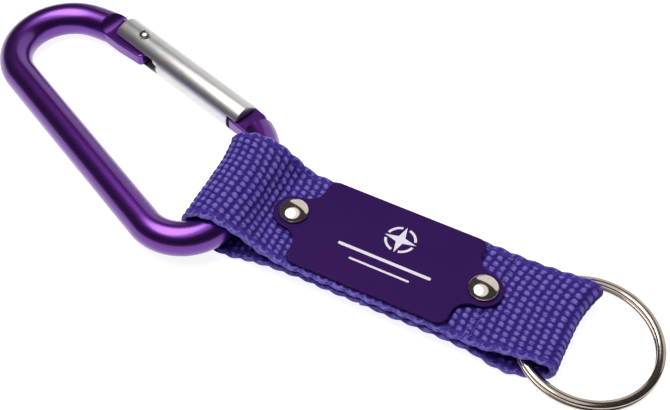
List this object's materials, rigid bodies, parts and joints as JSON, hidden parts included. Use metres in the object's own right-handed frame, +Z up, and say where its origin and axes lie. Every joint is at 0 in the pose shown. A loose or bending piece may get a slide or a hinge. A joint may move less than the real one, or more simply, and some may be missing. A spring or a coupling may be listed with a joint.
{
  "type": "carabiner keyring",
  "caption": "Flat-lying keyring: a sprung-gate carabiner and a split ring joined by a looped webbing strap with a riveted name plate.",
  "frame": {"origin": "middle of the object's footprint, on the surface that it lies on", "axes": "+X along the strap from the carabiner to the ring, +Y towards the carabiner's gate, +Z up out of the surface"},
  "size_m": [0.1346, 0.0454, 0.0096],
  "materials": {
    "body": "bright purple anodised",
    "gate": "satin, clear anodised",
    "pin": "polished steel",
    "spring": "spring wire",
    "webbing": "purple woven webbing",
    "plate": "satin dark purple anodised",
    "rivet": "polished nickel",
    "ring": "polished nickel"
  },
  "bodies": {
    "carabiner": {"carabiner_body": "body", "gate_pin": "pin"},
    "gate": {"gate": "gate", "gate_spring": "spring"},
    "plunger": {"gate_plunger": "pin"},
    "carabiner_loop": {"strap_carabiner_loop": "webbing"},
    "strap": {"strap_middle": "webbing", "plate": "plate", "left_rivet_cap": "rivet", "left_rivet_post": "rivet", "right_rivet_cap": "rivet", "right_rivet_post": "rivet"},
    "ring_loop": {"strap_ring_loop": "webbing"},
    "ring": {"key_ring": "ring"}
  },
  "joints": [
    {"name": "gate_hinge", "type": "hinge", "parent": "carabiner", "child": "gate", "pos_m": [-0.04255, 0.01818, 0.00375], "axis": [0.0332, 0, -0.9994], "range_deg": [0, 30], "stiffness_Nm_per_rad": 0.05, "springref_deg": -34.38},
    {"name": "plunger_slide", "type": "slide", "parent": "gate", "child": "plunger", "axis": [0.9505, -0.309, 0.0316], "range_m": [0, 0.0012], "deforming": ["gate_spring"]},
    {"name": "loop_swing", "type": "hinge", "parent": "carabiner", "child": "carabiner_loop", "pos_m": [-0.01012, -0.00571, 0.00483], "axis": [0, 1, 0], "range_deg": [-30, 30]},
    {"name": "carabiner_end_flex", "type": "hinge", "parent": "carabiner_loop", "child": "strap", "pos_m": [-0.00412, -0.00571, 0.00382], "axis": [0, 1, 0], "range_deg": [-35, 35], "stiffness_Nm_per_rad": 0.02},
    {"name": "ring_end_flex", "type": "hinge", "parent": "strap", "child": "ring_loop", "pos_m": [0.04078, -0.00571, 0.00323], "axis": [0, 1, 0], "range_deg": [-35, 35], "stiffness_Nm_per_rad": 0.02},
    {"name": "ring_turn", "type": "hinge", "parent": "ring_loop", "child": "ring", "pos_m": [0.05468, -0.00492, 0.00199], "axis": [0.0802, 0, 0.9968], "continuous": true}
  ],
  "couplings": [
    {"joint": "plunger_slide", "follows": "gate_hinge", "m_per_rad": 0.0022}
  ]
}
